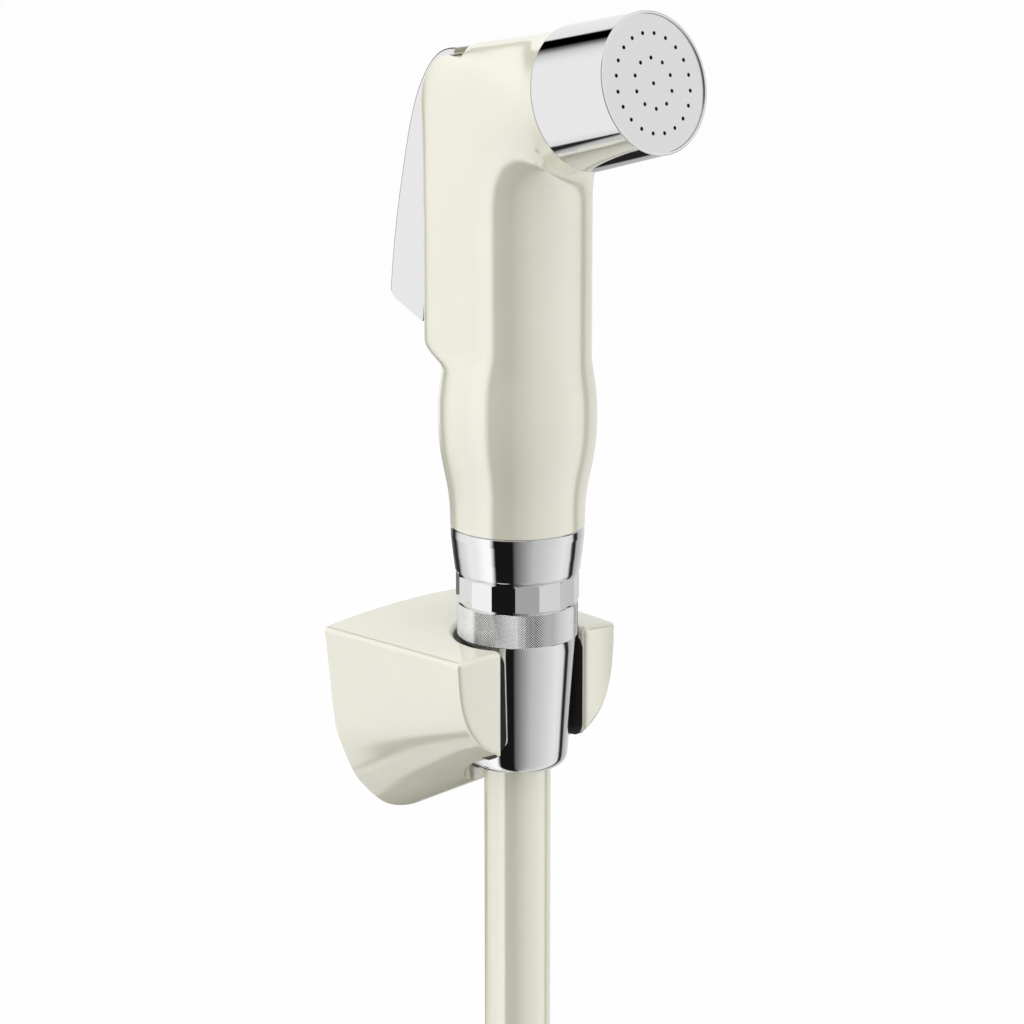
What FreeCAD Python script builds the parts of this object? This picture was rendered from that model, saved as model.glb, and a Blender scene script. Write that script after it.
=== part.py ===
import FreeCAD, Part
import os
import math

# Handheld bidet shower resting in its wall bracket. Millimetres, +Z up, front is -Y.
# The origin is the middle of the bracket's wall face, which lies in the plane y = 0.

# Driving dimensions.
fit_gap = 0.05            # radial play of a pushed-together fit
run_gap = 0.10            # radial play of a pin, stem or swivelling fit
move_gap = 0.40           # air beside a moving part

# wall bracket
bracket_top_z = 22.0
bracket_rear_half = 25.9
bracket_front_half = 22.8
bracket_depth = 42.9
bracket_front_sag = 2.6
bracket_crown = 1.6
bracket_keel_rear_z = -24.4
bracket_keel_front_z = -2.2
bracket_wall = 2.8
bracket_web_half = 7.5
bracket_edge_r = 1.2
slot_half = 12.1
slot_lip_r = 3.0
screw_hole_r = 2.25
screw_head_r = 4.4
screw_land = 4.0
screw_spacing = 18.0
screw_mid_z = 3.0

# handset axis and the taper that sits in the bracket
axis_y = -33.6
taper_top_r = 12.55
taper_bottom_r = 10.65
taper_bottom_z = -6.0
taper_foot_round = 2.4
knurl_bottom_z = 23.0
knurl_top_z = 30.6
knurl_r = 13.0
facet_top_z = 37.1
facet_count = 16
facet_across = 25.85
facet_chamfer = 0.5
collar_top_z = 47.3
collar_top_r = 14.25
collar_bottom_r = 13.35
liner_thick = 1.15
liner_top_z = 21.3
liner_bottom_z = -1.6
liner_corner_r = 3.0
liner_front_y = -41.2

# handle body
body_r = 15.3
belly_r = 16.85
handle_foot_r = 14.3
rear_depth = 16.5
rear_corner_r = 6.0
rear_step_z = 85.0
rear_squareness = 5.5
section_points = 12
fan_f = 22.0              # the point under the neck that the elbow's sections fan about
fan_z = 117.0
fan_sections = 10
neck_r = 14.55
crown_line = [            # back and top of the upper body, as (distance ahead of the axis, height)
    (-16.5, 110.0), (-16.5, 117.0), (-16.5, 122.0), (-16.5, 127.0), (-16.5, 131.5), (-16.3, 135.6),
    (-15.2, 139.8), (-13.0, 143.7), (-10.2, 146.7), (-7.2, 148.7), (-4.0, 149.9), (-0.8, 150.5),
    (3.6, 151.2), (8.05, 152.2), (12.64, 153.4), (16.0, 154.26),
]
shell_bore_r = 12.4
shell_flat = 8.4
head_bore_r = 8.0         # the elbow's hollow round the water way

# spray head: its axis starts on the handset axis and leans up and forward
head_z = 135.1
head_tilt = 14.4
neck_end = 21.0
cap_end = 41.2
cap_front_r = 14.5
cap_back_r = 15.15
cap_wall = 0.55
spigot_r = 12.0
spigot_end = 31.0
plate_thick = 1.2
plate_inset = 0.35
spray_hole_r = 0.42
spray_outer_count = 20
spray_inner_count = 10
spray_outer_pitch = 10.1
spray_inner_pitch = 5.1
outlet_r = 6.4
outlet_end = 33.5
gasket_thick = 1.6

# water way and valve
thread_major_r = 10.48    # G 1/2
thread_end_z = 24.2
pipe_r = 7.6
pipe_bore_r = 3.3
pipe_bore_shift = 4.1
valve_z = 100.0
barrel_r = 7.4
chamber_r = 5.2
chamber_front = 8.0
barrel_front = 10.0
seat_thick = 1.4
seat_bore_r = 3.1
stem_r = 1.75
stem_head_r = 4.0
stem_head_thick = 1.6
stem_travel = 4.1
gland_r = 5.2
gland_flange_r = 5.9
gland_flange_thick = 1.6
spring_mid_r = 2.9
spring_wire_r = 0.45
spring_turns = 4
wire_sides = 12
stem_head_back = 18.0     # the stem head's outer face, behind the handset axis
seal_ring_r = 0.9

# trigger lever
lever_half = 12.9
lever_wall = 1.8
lever_edge_r = 1.0
pivot_back = 11.0
pivot_z = 142.0
pivot_pin_r = 1.25
pivot_lug_r = 2.1
pivot_lug_half = 9.0
lever_nose_r = 4.0
lever_nose_half = 3.2
pocket_floor = 10.2
pocket_bottom_z = 88.6

# hose
hose_r = 7.2
hose_bore_r = 4.5
hose_top_z = 13.0
hose_points = [(0.0, -33.6, 13.0), (0.0, -33.6, -119.0), (62.0, -33.6, -235.5)]
coil_mid_r = 86.0
coil_pitch = 14.9
coil_tail = 58.0
coil_tail_angle = 180.0
tie_angle = 8.0
tie_width = 11.0
tie_thick = 1.4

# fittings at the hose's ends
tail_barb_r = 4.45
tail_bore_r = 3.2
tail_flange_r = 9.6
tail_flange_thick = 2.2
washer_thick = 2.0
inlet_nut_flats = 24.0
inlet_nut_height = 17.0
thread_relief_r = 10.75
inlet_shoulder_r = 7.6
ferrule_r = 8.6
ferrule_length = 16.0

os.makedirs("parts", exist_ok=True)
Vec = FreeCAD.Vector
axis_point = Vec(0, axis_y, 0)


def save(shape, node):
    """Write one named node and say how large it is."""
    solid = shape.removeSplitter()
    if solid.ShapeType == "Compound" and len(solid.Solids) == 1:
        solid = solid.Solids[0]
    solid.exportStep("parts/" + node + ".step")
    print(node, "solids", len(solid.Solids), "valid", solid.isValid(), "volume", round(solid.Volume, 1))


def upright(r, z0, z1, y=axis_y, x=0.0):
    """A vertical cylinder between two heights."""
    return Part.makeCylinder(r, z1 - z0, Vec(x, y, z0))


def turned(points):
    """A solid of revolution about the handset axis from (radius, height) corners."""
    corners = [Vec(r, axis_y, z) for r, z in points]
    face = Part.Face(Part.makePolygon(corners + [corners[0]]))
    return face.revolve(axis_point, Vec(0, 0, 1), 360)


def ring(r_out, r_in, z0, z1):
    """A plain ring about the handset axis."""
    return upright(r_out, z0, z1).cut(upright(r_in, z0 - 1, z1 + 1))


def side_prism(points, half):
    """A prism across X from a side view given as (distance ahead of the axis, height)."""
    corners = [Vec(-half, axis_y - f, z) for f, z in points]
    face = Part.Face(Part.makePolygon(corners + [corners[0]]))
    return face.extrude(Vec(2 * half, 0, 0))


def block(x0, x1, f0, f1, z0, z1):
    """A box given by X, by distance ahead of the handset axis, and by height."""
    return Part.makeBox(x1 - x0, f1 - f0, z1 - z0, Vec(x0, axis_y - f1, z0))


def along_head(shape):
    """Turn a shape built along +Z onto the leaning axis of the spray head."""
    placed = shape.copy()
    turn = FreeCAD.Rotation(Vec(1, 0, 0), 90 - head_tilt)
    placed.Placement = FreeCAD.Placement(Vec(0, axis_y, head_z), turn)
    return placed


def head_cyl(r, s0, s1, x=0.0, y=0.0):
    """A cylinder along the spray head's axis."""
    return along_head(Part.makeCylinder(r, s1 - s0, Vec(x, y, s0)))


def fore_cyl(r, f0, f1, z, x=0.0):
    """A cylinder lying front to back at a height."""
    return Part.makeCylinder(r, f1 - f0, Vec(x, axis_y - f0, z), Vec(0, -1, 0))


def soften(shape, edges, r):
    """Fillet the edges that will take the radius, one after another if need be."""
    try:
        result = shape.makeFillet(r, edges)
        if result.isValid() and len(result.Solids) == 1:
            return result
    except Exception:
        pass
    print("fillet of", r, "left out on", len(edges), "edges")
    return shape


# Wall bracket.
# Front views at the wall and at the front: half widths and heights of the shield shape.
rear_outline = [
    (1.0, bracket_top_z), (0.953, 12.4), (0.921, 5.2), (0.877, -2.0), (0.794, -7.5),
    (0.687, -13.1), (0.512, -18.5), (0.337, -22.2), (0.159, -23.9), (0.0, bracket_keel_rear_z),
]
front_outline = [
    (1.0, bracket_top_z), (0.992, 18.0), (0.97, 13.0), (0.91, 8.5), (0.83, 5.3),
    (0.735, 3.0), (0.63, 1.5), (0.42, -0.5), (0.2, -1.8), (0.0, bracket_keel_front_z),
]


def shield(outline, half, y, inset=0.0):
    """The closed front view of the bracket in the plane y, drawn in by an inset."""
    left = [Vec(-max(half * k - inset, 0), y, z) for k, z in outline]
    right = [Vec(max(half * k - inset, 0), y, z) for k, z in reversed(outline[:-1])]
    points = [Vec(p.x, y, max(p.z, outline[-1][1] + inset)) for p in left + right]
    points[0].z = bracket_top_z - inset
    points[-1].z = bracket_top_z - inset
    curve = Part.BSplineCurve()
    curve.interpolate(points)
    peak = Vec(0, y, bracket_top_z + bracket_crown - inset)
    top = Part.Arc(points[-1], peak, points[0]).toShape()
    return Part.Wire([curve.toShape(), top])


bracket_outer = Part.makeLoft([
    shield(rear_outline, bracket_rear_half, 0.0),
    shield(front_outline, bracket_front_half, -bracket_depth),
], True, True)
half = bracket_front_half
front_curve_r = (half ** 2 + bracket_front_sag ** 2) / (2 * bracket_front_sag)
front_keep = Part.makeCylinder(front_curve_r, 90, Vec(0, front_curve_r - bracket_depth, -45))
bracket_outer = bracket_outer.common(front_keep)

taper_slope = (taper_top_r - taper_bottom_r) / (knurl_bottom_z - taper_bottom_z)


def taper_r(z):
    """Radius of the handset's taper at a height."""
    return taper_bottom_r + (z - taper_bottom_z) * taper_slope


def taper_solid(extra, z0, z1):
    """The taper's cone, grown by an amount, between two heights."""
    return Part.makeCone(taper_r(z0) + extra, taper_r(z1) + extra, z1 - z0, Vec(0, axis_y, z0))


low_z = -40.0
bore = taper_solid(fit_gap + liner_thick, low_z, bracket_top_z + bracket_crown + 1)
slot = Part.makeBox(2 * slot_half, 40, 80, Vec(-slot_half, axis_y - 40, low_z))
bracket = bracket_outer.cut(bore).cut(slot)

outer_edges = []
for edge in bracket.Edges:
    box = edge.BoundBox
    on_wall = box.YMin > -0.01
    at_top = box.ZMin > bracket_top_z - 0.3
    at_front = box.YMax < -bracket_depth + bracket_front_sag + 1.5
    if not on_wall and (at_top or at_front):
        outer_edges.append(edge)
bracket = soften(bracket, outer_edges, bracket_edge_r)

# Cored from behind, leaving the web that the two screws pull against the wall.
web_front = axis_y + taper_r(bracket_top_z) + fit_gap + liner_thick + bracket_wall
core_k = -web_front / bracket_depth
core_half = bracket_rear_half + (bracket_front_half - bracket_rear_half) * core_k
core_outline = [
    (a[0] + (b[0] - a[0]) * core_k, a[1] + (b[1] - a[1]) * core_k)
    for a, b in zip(rear_outline, front_outline)
]
core = Part.makeLoft([
    shield(rear_outline, bracket_rear_half, 0.5, bracket_wall),
    shield(core_outline, core_half, web_front, bracket_wall),
], True, True)
core = core.cut(Part.makeBox(2 * bracket_web_half, 60, 80, Vec(-bracket_web_half, -50, low_z)))
bore_wall = taper_solid(fit_gap + liner_thick + bracket_wall, low_z, bracket_top_z + 1)
core = core.cut(bore_wall)
bracket = bracket.cut(core)
for k in (-0.5, 0.5):
    z = screw_mid_z + k * screw_spacing
    bracket = bracket.cut(Part.makeCylinder(screw_hole_r, 60, Vec(0, -50, z), Vec(0, 1, 0)))
    head_len = 50 - screw_land
    bracket = bracket.cut(Part.makeCylinder(screw_head_r, head_len, Vec(0, -50, z), Vec(0, 1, 0)))

# The liner's seat: a round recess and two flat cheeks beside the slot.
cheek_out = slot_half + liner_thick
cheek = Part.makeBox(2 * cheek_out, axis_y - liner_front_y, liner_top_z - liner_bottom_z,
                     Vec(-cheek_out, liner_front_y, liner_bottom_z))
front_corners = [e for e in cheek.Edges
                 if e.BoundBox.YMax < liner_front_y + 0.01 and e.BoundBox.XLength > 1]
cheek = cheek.makeFillet(liner_corner_r, front_corners)
sleeve = taper_solid(fit_gap + liner_thick, liner_bottom_z, liner_top_z)
liner_body = sleeve.fuse(cheek)
bracket = bracket.cut(cheek)
save(bracket, "wall_bracket")

liner_hollow = taper_solid(fit_gap, low_z, bracket_top_z + 1)
liner_slot = Part.makeBox(2 * slot_half, 40, 80, Vec(-slot_half, axis_y - 40, low_z))
liner = liner_body.cut(liner_hollow).cut(liner_slot)
save(liner, "bracket_liner")

# Cone nut: knurled band, taper and the chamber for the hose end.
cone_shoulder_z = thread_end_z - washer_thick - tail_flange_thick
nut_bore_r = hose_r + 0.15
cone_nut = turned([
    (nut_bore_r, taper_bottom_z), (taper_bottom_r, taper_bottom_z), (taper_top_r, knurl_bottom_z),
    (knurl_r, knurl_bottom_z + 0.45), (knurl_r, knurl_top_z - 0.3),
    (knurl_r - 0.3, knurl_top_z), (thread_major_r, knurl_top_z),
    (thread_major_r, cone_shoulder_z), (nut_bore_r, cone_shoulder_z),
])
foot_edge = [e for e in cone_nut.Edges
             if e.BoundBox.ZMax < taper_bottom_z + 0.01 and e.BoundBox.XLength > 2 * nut_bore_r + 1]
cone_nut = soften(cone_nut, foot_edge, taper_foot_round)
save(cone_nut, "cone_nut")

hose_washer = ring(thread_major_r - 0.3, pipe_bore_r + 1.6, thread_end_z - washer_thick, thread_end_z)
save(hose_washer, "hose_washer")

tail_top = thread_end_z - washer_thick
hose_tail = turned([
    (tail_bore_r, tail_top), (tail_flange_r, tail_top), (tail_flange_r, cone_shoulder_z),
    (nut_bore_r - 0.4, cone_shoulder_z), (nut_bore_r - 0.4, hose_top_z),
    (tail_barb_r - 0.35, hose_top_z), (tail_barb_r, hose_top_z - 2.5),
    (tail_barb_r - 0.35, hose_top_z - 2.5), (tail_barb_r, hose_top_z - 5.0),
    (tail_barb_r - 0.35, hose_top_z - 5.0), (tail_barb_r, hose_top_z - 7.5),
    (tail_barb_r - 0.35, hose_top_z - 7.5), (tail_barb_r - 0.35, hose_top_z - 17.0),
    (tail_bore_r, hose_top_z - 17.0),
])
save(hose_tail, "hose_tail")

# Sixteen-sided locking nut and the collar.
facet_r = facet_across / 2 / math.cos(math.pi / facet_count)
corners = []
for i in range(facet_count + 1):
    a = 2 * math.pi * i / facet_count
    corners.append(Vec(facet_r * math.cos(a), axis_y + facet_r * math.sin(a), knurl_top_z))
facet_height = facet_top_z - knurl_top_z
facet_nut = Part.Face(Part.makePolygon(corners)).extrude(Vec(0, 0, facet_height))
lathe = turned([
    (0, knurl_top_z), (facet_r - facet_chamfer, knurl_top_z),
    (facet_r, knurl_top_z + facet_chamfer), (facet_r, facet_top_z - facet_chamfer),
    (facet_r - facet_chamfer, facet_top_z), (0, facet_top_z),
])
facet_nut = facet_nut.common(lathe).cut(upright(thread_major_r, knurl_top_z - 1, facet_top_z + 1))
save(facet_nut, "facet_nut")

foot_r = 11.9
collar_floor_z = facet_top_z + 2.2
base_collar = turned([
    (thread_major_r + run_gap, facet_top_z), (collar_bottom_r - 0.5, facet_top_z),
    (collar_bottom_r, facet_top_z + 0.5), (collar_bottom_r + 0.45, facet_top_z + 4.0),
    (collar_top_r, collar_top_z - 2.0), (collar_top_r, collar_top_z - 0.3),
    (collar_top_r - 0.3, collar_top_z), (foot_r + fit_gap, collar_top_z),
    (foot_r + fit_gap, collar_floor_z), (thread_major_r + run_gap, collar_floor_z),
])
save(base_collar, "base_collar")

# Handle shell.
belly = [
    (handle_foot_r, collar_top_z), (14.4, 51.0), (14.8, 55.0), (15.55, 59.0), (16.3, 63.0),
    (16.72, 67.0), (belly_r, 71.0), (16.72, 75.0), (16.25, 79.0), (15.65, 83.0),
    (body_r + 0.1, 87.0), (body_r + 0.05, 91.0),
]
curve = Part.BSplineCurve()
curve.interpolate([Vec(r, axis_y, z) for r, z in belly])
top_r, top_z = belly[-1]
outline = Part.Wire([
    curve.toShape(),
    Part.makeLine(Vec(top_r, axis_y, top_z), Vec(0, axis_y, top_z)),
    Part.makeLine(Vec(0, axis_y, top_z), Vec(0, axis_y, collar_top_z)),
    Part.makeLine(Vec(0, axis_y, collar_top_z), Vec(handle_foot_r, axis_y, collar_top_z)),
])
handle = Part.Face(outline).revolve(axis_point, Vec(0, 0, 1), 360)

# Upper body: a straight grip, then a smooth elbow skinned over sections fanned about a point
# under the neck and on along the head's axis, flaring out to the cap.
def girth(centre_f, centre_z, lean, half, front, rear, squareness):
    """A closed section: round towards the front, round or squared off towards the rear."""
    halves = []
    for sign in (1, -1):
        points = []
        for k in range(section_points + 1):
            a = sign * math.pi * (k / section_points - 0.5)
            reach, power = (rear, squareness) if sign * math.sin(a) > 0 else (front, 2.0)
            size = (abs(math.cos(a) / half) ** power + abs(math.sin(a) / reach) ** power) ** (-1 / power)
            across, out = sign * size * math.cos(a), sign * size * math.sin(a)
            f = centre_f - out * math.cos(lean)
            points.append(Vec(across, axis_y - f, centre_z + out * math.sin(lean)))
        points[0].x = 0
        points[-1].x = 0
        if sign < 0:
            points.reverse()
        way = Vec(sign, 0, 0)
        curve = Part.BSplineCurve()
        steps = [k / section_points for k in range(section_points + 1)]
        curve.interpolate(Points=points, Parameters=steps, InitialTangent=way, FinalTangent=way * -1)
        halves.append(curve.toShape())
    return Part.Wire(halves)


def ease(k):
    """A smooth step from 0 to 1."""
    k = min(max(k, 0.0), 1.0)
    return k * k * (3 - 2 * k)


def between(pairs, k):
    """Cubic reading of a curve through (position, value) pairs."""
    i = max(j for j in range(len(pairs) - 1) if pairs[j][0] <= k or j == 0)
    (k0, v0), (k1, v1) = pairs[i], pairs[i + 1]
    before, after = pairs[max(i - 1, 0)], pairs[min(i + 2, len(pairs) - 1)]
    m0 = (v1 - before[1]) / (k1 - before[0])
    m1 = (after[1] - v0) / (after[0] - k0)
    t = (k - k0) / (k1 - k0)
    h = k1 - k0
    return ((1 + 2 * t) * (1 - t) ** 2 * v0 + t * (1 - t) ** 2 * h * m0
            + t * t * (3 - 2 * t) * v1 - t * t * (1 - t) * h * m1)


tilt = math.radians(head_tilt)
full_fan = math.pi / 2 - tilt
pivot_s = fan_f * math.cos(tilt) + (fan_z - head_z) * math.sin(tilt)
pivot_drop = fan_f * math.sin(tilt) - (fan_z - head_z) * math.cos(tilt)
back_line = [(math.atan2(z - fan_z, fan_f - f), math.hypot(z - fan_z, fan_f - f)) for f, z in crown_line]
grip = Part.Face(girth(0.0, rear_step_z - 4, 0.0, body_r, body_r, rear_depth, rear_squareness))
grip = grip.extrude(Vec(0, 0, fan_z - rear_step_z + 4))
sections = []
for k in range(fan_sections):
    part = k / (fan_sections - 1)
    lean = full_fan * part
    blend = ease(part)
    centre = fan_f + (pivot_drop - fan_f) * blend
    half_here = body_r + (neck_r - body_r) * blend
    inner = (fan_f - body_r) + (pivot_drop - neck_r - fan_f + body_r) * blend
    squared = rear_squareness + (2.0 - rear_squareness) * ease((part - 0.5) / 0.5)
    sections.append(girth(fan_f - centre * math.cos(lean), fan_z + centre * math.sin(lean), lean,
                          half_here, centre - inner, between(back_line, lean) - centre, squared))
for s, r in ((pivot_s + 2.1, 14.74), (neck_end, cap_back_r - 0.05)):
    sections.append(girth(s * math.cos(tilt), head_z + s * math.sin(tilt), full_fan, r, r, r, 2.0))
elbow = Part.makeLoft(sections, True, False)

# The filleted step under the rear of the upper body.
side = side_prism([
    (60.0, rear_step_z - 3.5), (-8.0, rear_step_z - 3.5), (-12.6, rear_step_z - 0.8),
    (-rear_depth - 0.5, rear_step_z + 1.4), (-rear_depth - 0.5, 170.0), (60.0, 170.0),
], 20)
grip = grip.common(side)
shell = handle.fuse([grip, elbow])

# Spigots for the collar below and the cap in front, then the hollow for the water way.
foot = upright(foot_r, collar_floor_z, collar_top_z + 1)
spigot = head_cyl(spigot_r, neck_end - 1, spigot_end)
shell = shell.fuse([foot, spigot])
keep_front = block(-20, 20, -shell_flat, 30, 30, head_z + 1)
hollow = upright(shell_bore_r, collar_top_z + 2, head_z - 14).common(keep_front)
foot_bore_r = 9.2
shell = shell.cut(hollow)
shell = shell.cut(upright(foot_bore_r, collar_floor_z - 1, collar_top_z + 3))
shell = shell.cut(head_cyl(head_bore_r, 0, spigot_end + 1))
shell = shell.cut(upright(head_bore_r, head_z - 20, head_z))
shell = shell.cut(Part.makeSphere(head_bore_r + 0.1, Vec(0, axis_y, head_z)))

# Pocket for the lever, with the lug that carries its pivot pin.
pocket_half = lever_half + move_gap
pocket = side_prism([
    (-4.8, 156.0), (-4.8, 146.4), (-7.7, 145.4), (-7.7, 141.6), (-8.6, 139.8),
    (-pocket_floor, 139.0), (-pocket_floor, pocket_bottom_z), (-34.0, pocket_bottom_z),
    (-34.0, 156.0),
], pocket_half)
shell = shell.cut(pocket)
lug = Part.makeCylinder(pivot_lug_r, 2 * pivot_lug_half,
                        Vec(-pivot_lug_half, axis_y + pivot_back, pivot_z), Vec(1, 0, 0))
lug = lug.fuse(block(-pivot_lug_half, pivot_lug_half, -pivot_back, -7.5,
                     pivot_z - pivot_lug_r, pivot_z + pivot_lug_r))
shell = shell.fuse(lug)
shell = shell.cut(Part.makeCylinder(pivot_pin_r + run_gap, 2 * pivot_lug_half + 2,
                  Vec(-pivot_lug_half - 1, axis_y + pivot_back, pivot_z), Vec(1, 0, 0)))
shell = shell.cut(fore_cyl(gland_r + 0.3, -pocket_floor - 2, 0, valve_z))
save(shell, "handle_shell")

# Water way: threaded foot, pipe, valve barrel and outlet to the head.
flange_z = collar_floor_z
body = upright(thread_major_r, thread_end_z, flange_z)
body = body.fuse(upright(foot_bore_r - fit_gap, flange_z, flange_z + 6))
body = body.fuse(upright(pipe_r, flange_z, head_z))
body = body.fuse(Part.makeSphere(pipe_r, Vec(0, axis_y, head_z)))
body = body.fuse(head_cyl(outlet_r, 0, outlet_end))
body = body.fuse(fore_cyl(barrel_r, -shell_flat, barrel_front, valve_z))
seat_back = -seat_thick / 2
body = body.cut(fore_cyl(chamber_r, seat_back + seat_thick, chamber_front, valve_z))
body = body.cut(fore_cyl(chamber_r, -shell_flat - 1, seat_back, valve_z))
body = body.cut(fore_cyl(seat_bore_r, seat_back - 1, chamber_front, valve_z))
lower_bore = Part.makeCylinder(pipe_bore_r, valve_z - thread_end_z + 1,
                               Vec(0, axis_y - pipe_bore_shift, thread_end_z - 1))
upper_bore = Part.makeCylinder(pipe_bore_r, head_z - valve_z,
                               Vec(0, axis_y + pipe_bore_shift, valve_z))
upper_room = Part.makeSphere(pipe_bore_r + 2.2, Vec(0, axis_y, head_z))
body = body.cut(lower_bore.common(upright(6.4, 0, 200)))
body = body.cut(upper_bore.common(upright(6.4, 0, 200)))
body = body.cut(upper_room).cut(head_cyl(pipe_bore_r + 0.9, 0, outlet_end + 1))
save(body, "water_way")

# Valve stem, its rubber disc, spring, seal ring and gland.
stem = fore_cyl(stem_r, -stem_head_back + 0.8, 3.6, valve_z)
stem = stem.fuse(fore_cyl(stem_head_r, -stem_head_back, -stem_head_back + stem_head_thick, valve_z))
disc_back = seat_back + seat_thick + 0.02
disc_thick = 1.6
stem = stem.fuse(fore_cyl(stem_r + 1.2, disc_back + disc_thick, disc_back + disc_thick + 0.9, valve_z))
save(stem, "valve_stem")
disc = fore_cyl(4.4, disc_back, disc_back + disc_thick, valve_z)
disc = disc.cut(fore_cyl(stem_r, disc_back - 1, disc_back + 3, valve_z))
save(disc, "valve_disc")

gland_face = -shell_flat - 1.9 - gland_flange_thick
gland = fore_cyl(gland_r - fit_gap, -shell_flat - 2.0, -shell_flat + 4.2, valve_z)
gland = gland.fuse(fore_cyl(gland_flange_r, gland_face, gland_face + gland_flange_thick, valve_z))
gland = gland.cut(fore_cyl(stem_r + run_gap, gland_face - 2, 0, valve_z))
groove_f = -shell_flat + 2.2
groove = fore_cyl(stem_r + 2 * seal_ring_r, groove_f - 1.1, groove_f + 3, valve_z)
gland = gland.cut(groove)
save(gland, "gland_nut")
seal = Part.makeTorus(stem_r + seal_ring_r, seal_ring_r - 0.05,
                      Vec(0, axis_y - groove_f, valve_z), Vec(0, 1, 0))
save(seal, "stem_seal")

spring_back = -stem_head_back + stem_head_thick
spring_len = gland_face - spring_back
pitch = (spring_len - 2 * spring_wire_r) / spring_turns
helix = Part.makeHelix(pitch, spring_turns * pitch, spring_mid_r)
wire_corners = []
for i in range(wire_sides + 1):
    a = 2 * math.pi * i / wire_sides
    wire_corners.append(Vec(spring_mid_r + spring_wire_r * math.cos(a), 0, spring_wire_r * math.sin(a)))
spring = Part.Wire(helix).makePipeShell([Part.makePolygon(wire_corners)], True, True)
spring.Placement = FreeCAD.Placement(
    Vec(0, axis_y - spring_back - spring_wire_r, valve_z), FreeCAD.Rotation(Vec(1, 0, 0), 90))
save(spring, "stem_spring")

# Trigger lever and its pin.
lever_line = [
    (-5.2, 149.1), (-8.4, 148.75), (-10.5, 147.8), (-12.5, 146.2), (-14.4, 143.9),
    (-16.1, 141.2), (-17.4, 138.6), (-18.4, 136.0), (-19.8, 131.6), (-21.4, 125.0),
    (-23.6, 114.6), (-25.3, 104.2), (-26.0, 98.0),
]
lever_low = [(-25.95, 96.5), (-25.3, 95.2), (-24.0, 94.2), (-15.6, 90.6)]


def lever_solid(line, low, inner, half):
    """The lever's side view closed by its inner edge, as a prism across X."""
    curve = Part.BSplineCurve()
    curve.interpolate([Vec(-half, axis_y - f, z) for f, z in line])
    rest = [line[-1]] + low + inner + [line[0]]
    edges = [curve.toShape()]
    for a, b in zip(rest[:-1], rest[1:]):
        edges.append(Part.makeLine(Vec(-half, axis_y - a[0], a[1]), Vec(-half, axis_y - b[0], b[1])))
    return Part.Face(Part.Wire(edges)).extrude(Vec(2 * half, 0, 0))


skirt_edge = [(-15.3, 91.2), (-11.3, 140.0), (-9.2, 140.4), (-8.3, 142.6), (-8.6, 145.4), (-5.4, 147.2)]
lever = lever_solid(lever_line, lever_low, skirt_edge, lever_half)
long_edges = [e for e in lever.Edges
              if abs(abs(e.CenterOfMass.x) - lever_half) < 0.01 and e.BoundBox.ZLength > 40
              and e.CenterOfMass.y > axis_y + 17]
lever = soften(lever, long_edges, lever_edge_r)
inner_line = [(f + lever_wall * 0.92, z - lever_wall * 0.5) for f, z in lever_line[2:]]
inner_low = [(-22.6, 96.8), (-14.0, 93.4)]
inner_rest = [(-5.0, 92.0), (-5.0, 140.0), (-6.6, 145.2)]
hollow = lever_solid(inner_line, inner_low, inner_rest, lever_half - lever_wall)
lever = lever.cut(hollow)
nose_back = -stem_head_back - 0.15 - lever_nose_r
nose = Part.makeCylinder(lever_nose_r, 2 * lever_nose_half,
                         Vec(-lever_nose_half, axis_y - nose_back, valve_z), Vec(1, 0, 0))
stalk = side_prism([(nose_back, valve_z + 3.0), (nose_back - 3.4, valve_z + 3.0),
                    (nose_back - 3.4, valve_z - 3.0), (nose_back, valve_z - 3.0)], 1.2)
nose = nose.fuse(stalk)
lever = lever.fuse(nose.common(side_prism([(-24.4, 92), (-24.4, 106), (-12, 106), (-12, 92)], 8)))
lug_room = pivot_lug_half + move_gap
lever = lever.cut(Part.makeCylinder(pivot_lug_r + move_gap, 2 * lug_room,
                                    Vec(-lug_room, axis_y + pivot_back, pivot_z), Vec(1, 0, 0)))
lever = lever.cut(Part.makeCylinder(pivot_pin_r, 60, Vec(-30, axis_y + pivot_back, pivot_z), Vec(1, 0, 0)))
save(lever, "trigger_lever")

pin = Part.makeCylinder(pivot_pin_r, 2 * lever_half - 0.4,
                        Vec(-lever_half + 0.2, axis_y + pivot_back, pivot_z), Vec(1, 0, 0))
save(pin, "lever_pin")

# Spray head.
plate_r = cap_front_r - cap_wall
plate_front = cap_end - plate_inset
plate_back = plate_front - plate_thick
insert_r = plate_r - 0.9
cap = Part.makeCone(cap_back_r, cap_front_r, cap_end - neck_end, Vec(0, 0, neck_end))
rim = [e for e in cap.Edges if e.BoundBox.ZMin > cap_end - 0.01]
cap = cap.makeFillet(0.25, rim)
back_rim = [e for e in cap.Edges if e.BoundBox.ZMax < neck_end + 0.01]
cap = cap.makeChamfer(0.25, back_rim)
cap = cap.cut(Part.makeCylinder(plate_r, 10, Vec(0, 0, plate_back)))
cap = cap.cut(Part.makeCylinder(insert_r, 30, Vec(0, 0, spigot_end - 0.1)))
cap = cap.cut(Part.makeCylinder(spigot_r + fit_gap, 12, Vec(0, 0, neck_end - 1)))
save(along_head(cap), "nozzle_cap")

plate = Part.makeCylinder(plate_r - fit_gap, plate_thick, Vec(0, 0, plate_back))
holes = [Part.makeCylinder(spray_hole_r, 5, Vec(0, 0, plate_back - 1))]
for count, pitch_r in ((spray_outer_count, spray_outer_pitch), (spray_inner_count, spray_inner_pitch)):
    for i in range(count):
        a = 2 * math.pi * (i + 0.5) / count
        at = Vec(pitch_r * math.cos(a), pitch_r * math.sin(a), plate_back - 1)
        holes.append(Part.makeCylinder(spray_hole_r, 5, at))
plate = plate.cut(holes)
save(along_head(plate), "spray_plate")

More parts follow.
